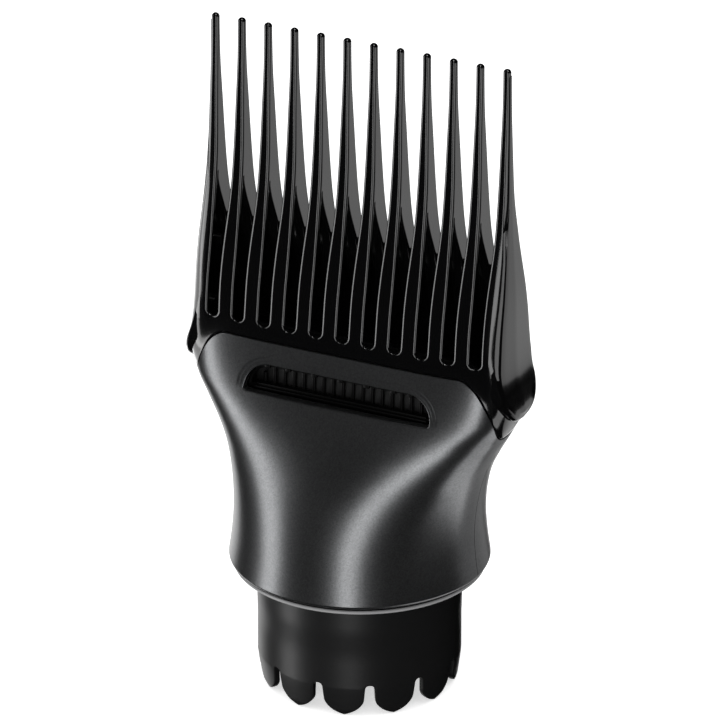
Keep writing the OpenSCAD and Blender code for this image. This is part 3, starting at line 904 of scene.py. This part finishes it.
        # the inner side is open behind the vent
        centre = np.array([[B.v[t] for t in q] for q in B.f[first:]]).mean(1)
        B.f[first:] = [q for q, c in zip(B.f[first:], centre)
                       if not (c[2] > 20 and c[1] > -float(front_y(c[0], c[2])) + 1.2 and in_vent(c[0], c[2], 0.9))]
    # faces on the seam plane
    for i in (0, cols):
        loop = [outer[i][k] for k in range(rows + 1)]
        loop += list(reversed([list(p) for p in G[i][1:]]))
        B.fan(loop, flip=(i == 0) == (side < 0))

    def shift(v):
        """Small parting gap on the seam, only near the seam plane."""
        v = v.copy()
        near = np.abs(v[:, 1]) < 2.0
        w = np.clip(1 - np.abs(v[:, 1]) / 2.0, 0, 1)
        v[:, 1] += side * seam * w * near
        return v
    ob = B.make(name, M_BODY, merge=0.003, sharp=42, recalc=False, move=shift)
    zone = lambda p: (np.abs(p[:, 0]) < VENT_W / 2 + 2.55) & (p[:, 2] > VENT_Z - 2.55) & (p[:, 2] < VENT_Z + VENT_H + 2.55)
    func = form_gradient(half_w, expo)
    analytic_normals(ob, func, tol=0.05, skip=(zone if side < 0 else None))
    return ob


# --------------------------------------------------------------- vent insert
def build_grille():
    B = Build()

    def prism(ring_fn, y0, y1, g):
        r = ring_fn(g)
        G = [[[x, y, z] for (x, z) in r] for y in (y0, y1)]
        return G
    # frame: outer outline 1.2, window -0.9
    a, b = vent_ring(1.2), vent_ring(-0.9)
    rings = [[(x, -8.7, z) for x, z in a], [(x, -9.6, z) for x, z in a], [(x, -9.6, z) for x, z in vent_ring(-0.12)],
             [(x, -10.45, z) for x, z in vent_ring(-0.12)], [(x, -10.6, z) for x, z in vent_ring(-0.27)],
             [(x, -10.6, z) for x, z in vent_ring(-0.75)], [(x, -10.45, z) for x, z in b], [(x, -8.7, z) for x, z in b],
             [(x, -8.7, z) for x, z in a]]
    B.grid(np.array(rings), close_j=True)

    def block(x0, x1, y0, y1, z0, z1, r=0.12):
        bm = bmesh.new()
        bmesh.ops.create_cube(bm, size=1.0, matrix=Matrix.Translation(((x0 + x1) / 2, (y0 + y1) / 2, (z0 + z1) / 2))
                              @ Matrix.Diagonal((x1 - x0, y1 - y0, z1 - z0, 1)))
        bmesh.ops.bevel(bm, geom=list(bm.edges), offset=r, segments=2, profile=0.5, affect="EDGES")
        base = B.add([v.co for v in bm.verts])
        bm.verts.index_update()
        for f in bm.faces:
            B.f.append([base + v.index for v in f.verts])
        bm.free()
    # stepped sill
    block(-VENT_W / 2 + 1.6, VENT_W / 2 - 1.6, -11.3, -9.0, VENT_Z + 0.05, VENT_Z + 0.62)
    block(-VENT_W / 2 + 2.0, VENT_W / 2 - 2.0, -10.7, -9.0, VENT_Z + 0.62, VENT_Z + 1.25)
    for i in range(-9, 10):
        x = i * 2.6
        if abs(x) < VENT_W / 2 - 2.2:
            low = VENT_H - (3.6 if abs(x) > VENT_W / 2 - 6.5 else 1.0)
            block(x - 0.4, x + 0.4, -9.6, -8.7, VENT_Z + 0.5, VENT_Z + 0.5 + low, 0.15)
    # short catches under the upper edge
    for x in (-19.5, -14.0, -7.0, 0.0, 7.0, 14.0, 18.6):
        block(x - 0.7, x + 0.7, -10.9, -9.4, VENT_Z + VENT_H - 1.3, VENT_Z + VENT_H - 0.35, 0.15)
    return B.make("vent_insert", M_VENT, merge=0.001, sharp=35)


# ------------------------------------------------------------------- collar
def lathe(B, prof, seg, a0=0.0, a1=2 * PI, flip=False):
    closed = abs(a1 - a0 - 2 * PI) < 1e-9
    n = seg if closed else seg + 1
    G = []
    for i in range(n):
        t = a0 + (a1 - a0) * i / seg
        G.append([[r * math.sin(t), -r * math.cos(t), z] for (r, z) in prof])
    B.grid(np.array(G), close_i=closed, close_j=False, flip=flip)
    return G


COL_R, BORE_R, FL_R, NECK_R = 24.9, 23.1, 30.7, 24.6
NOTCH_Z, FLEN, LEAN = 23.7, 8.4, 1.0
CUT_Z = -22.4


def arc(cx, cz, r, a0, a1, n):
    return [(cx + r * math.cos(t), cz + r * math.sin(t)) for t in np.linspace(a0, a1, n)]


def build_sleeve():
    B = Build()
    T = 0.12
    prof = [(COL_R - T, CUT_Z), (COL_R - T, -18), (COL_R - T, -14.25)]
    prof += [(COL_R - T + 0.03, -14.05), (COL_R - 0.03, -11.0), (COL_R, -10.8)]
    prof += [(COL_R, -8), (COL_R, -4), (COL_R, -2.4)]
    prof += arc(COL_R + 0.5, -2.1, 0.5, PI, PI / 2, 6)[1:]
    prof += [(FL_R - 0.6, -1.6)]
    prof += arc(FL_R - 0.45, -1.15, 0.45, -PI / 2, PI / 2, 14)[1:]
    prof += [(28.0, -0.35), (NECK_R, -0.35), (NECK_R, 2.3), (NECK_R - 0.7, 2.3), (NECK_R - 0.7, 3.7), (NECK_R, 3.7),
             (NECK_R, 4.0), (NECK_R - 0.3, 4.3), (BORE_R + 0.3, 4.3), (BORE_R, 4.0), (BORE_R, -6), (BORE_R, -14),
             (BORE_R, CUT_Z)]
    lathe(B, prof, 288)
    ob = B.make("collar_sleeve_turned", M_COLLAR, merge=0.001, sharp=38)
    ob.data.materials.append(M_LIP_PAINTED_HIGHLIGHT)
    # the lip's faces under the rim take the lighter grey material: painted highlight on the rounded lip edge
    for f in ob.data.polygons:
        c = f.center
        if math.hypot(c.x, c.y) / MM > FL_R - 0.62 and c.z / MM < RIM - 0.2:
            f.material_index = 1
    return ob


def build_finger(k):
    """One twelfth of the lower collar: starts as a full sector and ends as a pointed finger."""
    B = Build()
    mid = math.radians(2 + 30 * k + 15)
    half = math.radians(15)
    zt = -NOTCH_Z
    r_n = 1.15
    tip = -NOTCH_Z - FLEN
    arc_half = COL_R * half

    def half_len(z):
        """Half width of the finger along the arc, in mm."""
        if z >= zt:
            return arc_half
        if z >= zt - r_n:
            dz = z - (zt - r_n)
            return arc_half - math.sqrt(max(r_n ** 2 - dz ** 2, 0))
        base = arc_half - r_n - 0.75 * (zt - r_n - z) / (FLEN + 2 - r_n)
        sh = tip + 4.2
        if z >= sh:
            return base
        u = (sh - z) / 4.2
        u = min(1, max(0, u))
        # rounded shoulders, then a blunt round point
        w = base * (1 - u ** 1.9) ** 0.75
        return max(w, 0.0)

    zs = [CUT_Z, -23.0, -23.5, zt + 0.001]
    zs += list(zt - r_n * (1 - np.cos(np.linspace(0, PI / 2, 9)[1:])))
    zs += list(np.linspace(zt - r_n, tip + 4.2, 7)[1:])
    zs += list(tip + 4.2 - 4.2 * np.sin(np.linspace(0, PI / 2, 18)[1:]))
    ncol = 18
    r_e = 0.28
    rings = []
    for z in zs:
        lean = LEAN * max(0.0, (-24.5 - z) / (-24.5 - tip)) ** 1.15
        ro, ri = COL_R - 0.12 - lean, BORE_R - lean * 0.77
        w = half_len(z) / COL_R
        full = z >= zt
        e = 0.0 if full else min(r_e, half_len(z) * 0.6) / COL_R
        e_r = 0.0 if full else min(r_e, (ro - ri) * 0.4)
        # taper of the wall in the pointed part
        u = max(0.0, (tip + 1.2 - z) / 1.2) if z < tip + 1.2 else 0.0
        ro2, ri2 = ro - u * 0.35, ri + u * 0.35
        ring = []
        for s in np.linspace(-1, 1, ncol):
            ring.append((ro2, s * (w - e)))
        for a in np.linspace(0, PI / 2, 5)[1:]:
            ring.append((ro2 - e_r * (1 - math.cos(a)), (w - e) + e * math.sin(a)))
        for a in np.linspace(0, PI / 2, 5)[:-1]:
            ring.append((ri2 + e_r * (1 - math.sin(a)), (w - e) + e * math.cos(a)))
        for s in np.linspace(1, -1, ncol):
            ring.append((ri2, s * (w - e)))
        for a in np.linspace(PI / 2, 0, 5)[1:]:
            ring.append((ri2 + e_r * (1 - math.sin(a)), -((w - e) + e * math.cos(a))))
        for a in np.linspace(PI / 2, 0, 5)[:-1]:
            ring.append((ro2 - e_r * (1 - math.cos(a)), -((w - e) + e * math.sin(a))))
        rings.append([[r * math.sin(mid + t), -r * math.cos(mid + t), z] for (r, t) in ring])
    G = np.array(rings)
    B.grid(G, close_j=True)
    ob = B.make("snap_finger_%02d" % (k + 1), M_COLLAR, merge=0.002, sharp=50)
    return ob


# ------------------------------------------------------------------- duct
def build_duct():
    B = Build()
    hs = np.concatenate([[0.6, 5, 10, 14], np.linspace(15, 53, 34)])
    n = 160

    def ring(z, off):
        W, D, N = float(curve(DUCT, z, 1)) - off, float(curve(DUCT, z, 2)) - off, float(curve(DUCT, z, 3))
        p = []
        for t in np.linspace(0, 2 * PI, n + 1)[:-1]:
            c, s = math.cos(t), math.sin(t)
            r = (abs(c) ** N + abs(s) ** N) ** (-1 / N)
            p.append([W * r * c, D * r * s, z])
        return p
    G = [ring(z, 0) for z in hs] + [ring(z, 1.2) for z in hs[::-1]]
    B.grid(np.array(G), close_i=True, close_j=True)
    prof = [(22.2, 5.3), (28.0, 5.3), (28.2, 5.5), (28.2, 6.5), (28.0, 6.7), (22.2, 6.7), (22.2, 5.3)]
    lathe(B, prof, 160)
    for s in (-1, 1):
        for (a, b) in ((4, 7), (10, 18)):
            q = []
            for z in np.linspace(40, 53, 14):
                u = (z - 40) / 13
                x = s * (a + (b - a) * u)
                y = min(6.9, float(curve(DUCT, z, 2)) - 0.9)
                q.append([[x, -y, z], [x + s, -y, z], [x + s, y, z], [x, y, z]])
            B.grid(np.array(q), close_j=True)
            B.fan(q[0])
            B.fan(q[-1])
    return B.make("inner_duct_shell", M_DUCT, merge=0.001, sharp=40)


def build_ring():
    B = Build()
    prof = []
    c = [(24.05, 2.42), (26.7, 2.42), (26.7, 3.58), (24.05, 3.58)]
    r = 0.15
    for (cx, cz), a0 in zip([(24.05, 2.55), (26.65, 2.55), (26.65, 3.45), (24.05, 3.45)], [PI, 1.5 * PI, 0, 0.5 * PI]):
        prof += arc(cx, cz, r, a0, a0 + PI / 2, 4)
    prof.append(prof[0])
    a = math.asin(2.5 / 25.4)
    G = lathe(B, prof, 180, -PI + a, PI - a)
    B.fan(G[0][:-1])
    B.fan(G[-1][:-1])
    return B.make("retaining_ring_wire", M_SPRING, merge=0.001, sharp=40)


# ---------------------------------------------------------------- assembly
head = build_head()
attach(head, "comb")
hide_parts("comb_head")
for mirror, name, node in ((1, "side_plate_right_cover", "side_plate_right"), (-1, "side_plate_left_cover", "side_plate_left")):
    p = build_plate(mirror, name)
    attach(p, "comb")
    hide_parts(node)
front = build_shell(-1, "body_front_shell")
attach(front, "comb")
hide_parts("body_front")
rear = build_shell(1, "body_rear_shell")
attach(rear, "comb")
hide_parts("body_rear")
grille = build_grille()
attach(grille, "comb")
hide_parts("vent_grille")
duct = build_duct()
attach(duct, "comb")
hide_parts("inner_duct")
sleeve = build_sleeve()
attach(sleeve, "collar")
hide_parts("collar_sleeve")
wire = build_ring()
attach(wire, "collar")
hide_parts("retaining_ring")
for k in range(12):
    fg = build_finger(k)
    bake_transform(fg)
    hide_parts("finger_%02d" % (k + 1))

# ------------------------------------------------------------------- stage
floor_z = (-NOTCH_Z - FLEN + RIM) * MM - 0.0002


def stage_material():
    m = bpy.data.materials.new("pale floor")
    m.use_nodes = True
    nt = m.node_tree
    b = nt.nodes["Principled BSDF"]
    b.inputs["Base Color"].default_value = (0.92, 0.92, 0.92, 1)
    b.inputs["Roughness"].default_value = 0.9
    b.inputs["Specular IOR Level"].default_value = 0.0
    b.inputs["Emission Color"].default_value = (1, 1, 1, 1)
    b.inputs["Emission Strength"].default_value = 0.55
    return m


me = bpy.data.meshes.new("studio_floor")
S = 3.0
prof = [(-S, 0.0), (S, 0.0)]
az = math.radians(26.2)
fwd = np.array([-math.sin(az), math.cos(az)])
rt = np.array([math.cos(az), math.sin(az)])
bm = bmesh.new()
rows = []
for (d, h) in prof:
    rows.append([bm.verts.new((fwd[0] * d + rt[0] * s, fwd[1] * d + rt[1] * s, floor_z + h)) for s in (-S, S)])
for a, b in zip(rows[:-1], rows[1:]):
    f = bm.faces.new((a[0], a[1], b[1], b[0]))
    f.smooth = True
bm.to_mesh(me)
bm.free()
floor = bpy.data.objects.new("studio_floor", me)
bpy.context.scene.collection.objects.link(floor)
me.materials.append(stage_material())
floor.visible_glossy = False
floor.visible_shadow = False

# world: even white for the background and the soft fill, kept out of reflections
world = bpy.data.worlds.new("studio")
bpy.context.scene.world = world
world.use_nodes = True
wt = world.node_tree
for n in list(wt.nodes):
    wt.nodes.remove(n)
wo = wt.nodes.new("ShaderNodeOutputWorld")
bg1 = wt.nodes.new("ShaderNodeBackground")
bg1.inputs[0].default_value = (1, 1, 1, 1)
bg1.inputs[1].default_value = 1.0
wt.links.new(bg1.outputs[0], wo.inputs[0])
world.cycles_visibility.glossy = False


def softbox(name, az_deg, el_deg, dist, w, h, power, roll=0.0, target=(0, 0, 0.05), spread=180):
    """Rectangular soft light: azimuth 0 is in front of -Y, positive towards +X."""
    a, e = math.radians(az_deg), math.radians(el_deg)
    d = Vector((math.sin(a) * math.cos(e), -math.cos(a) * math.cos(e), math.sin(e)))
    L = bpy.data.lights.new(name, "AREA")
    L.shape = "RECTANGLE"
    L.size, L.size_y = w, h
    L.energy = power
    L.spread = math.radians(spread)
    o = bpy.data.objects.new(name, L)
    o.location = Vector(target) + d * dist
    o.rotation_euler = (-d).to_track_quat("-Z", "Y").to_euler()
    o.rotation_euler.rotate_axis("Z", math.radians(roll))
    bpy.context.scene.collection.objects.link(o)
    o.visible_camera = False
    return o


def only(light, *names):
    """Keeps a light on the named pieces."""
    group = bpy.data.collections.new(light.name + "_on")
    for ob in bpy.data.objects:
        if ob.type == "MESH" and any(ob.name.startswith(n) for n in names):
            group.objects.link(ob)
    light.light_linking.receiver_collection = group
    return light


BODY_SET = ("body_front_shell", "body_rear_shell")
HEAD_SET = ("comb_head", "side_plate", "vent_insert")
COLLAR_SET = ("collar_sleeve", "snap_finger", "retaining", "inner_duct")
softbox("left_strip", -57.5, -2, 1.0, 0.30, 1.2, 5.4)
softbox("front_strip", 15, 2, 1.0, 0.25, 1.0, 3.8)
only(softbox("back_right", 148, -30, 1.0, 1.15, 0.60, 1.8), *HEAD_SET)
only(softbox("back_right_body", 150, -20, 1.0, 1.0, 1.2, 1.6), *BODY_SET)
softbox("back_left", -140, -25, 1.0, 1.0, 1.0, 4.4)
only(softbox("hood_left", -90, -22, 1.0, 1.2, 0.85, 9.0), *HEAD_SET)
only(softbox("hood_right", 70, -24, 1.0, 0.95, 0.9, 7.4), "comb_head")
only(softbox("low_right", 101, -50, 1.0, 0.85, 0.5, 2.7), *BODY_SET)
only(softbox("top_soft", 20, 78, 1.2, 0.7, 0.7, 3.6), *HEAD_SET)
only(softbox("top_low", 20, 78, 1.2, 0.7, 0.7, 1.0), *BODY_SET, *COLLAR_SET)
only(softbox("sparkle", 24, 68, 1.0, 0.13, 0.13, 2.6), "comb_head")

# camera at the photo's viewing angle
cam = bpy.data.cameras.new("camera")
co = bpy.data.objects.new("camera", cam)
bpy.context.scene.collection.objects.link(co)
a, e, roll = math.radians(26.2), math.radians(24.9), math.radians(0.087)
dist = 2.4
tgt = Vector((0, 0, (50 + RIM) * MM))
d = Vector((math.sin(a) * math.cos(e), -math.cos(a) * math.cos(e), math.sin(e)))
right = Vector((math.cos(a), math.sin(a), 0))
upv = right.cross(-d)
upv.normalize()
r2 = right * math.cos(roll) + upv * math.sin(roll)
u2 = -right * math.sin(roll) + upv * math.cos(roll)
m = Matrix((r2, u2, d)).transposed().to_4x4()
m.translation = tgt + d * dist
co.matrix_world = m
cam.sensor_width = 36
cam.sensor_fit = "HORIZONTAL"
cam.lens = 36 * 4.16 * 2400 / 720
cam.shift_x = -(360.07 - 360) / 720
cam.shift_y = (366.04 - 360) / 720
cam.clip_end = 20
bpy.context.scene.camera = co

sc = bpy.context.scene
sc.view_settings.view_transform = "Standard"
sc.view_settings.look = "None"
sc.cycles.max_bounces = 6
sc.cycles.diffuse_bounces = 3
sc.cycles.glossy_bounces = 3
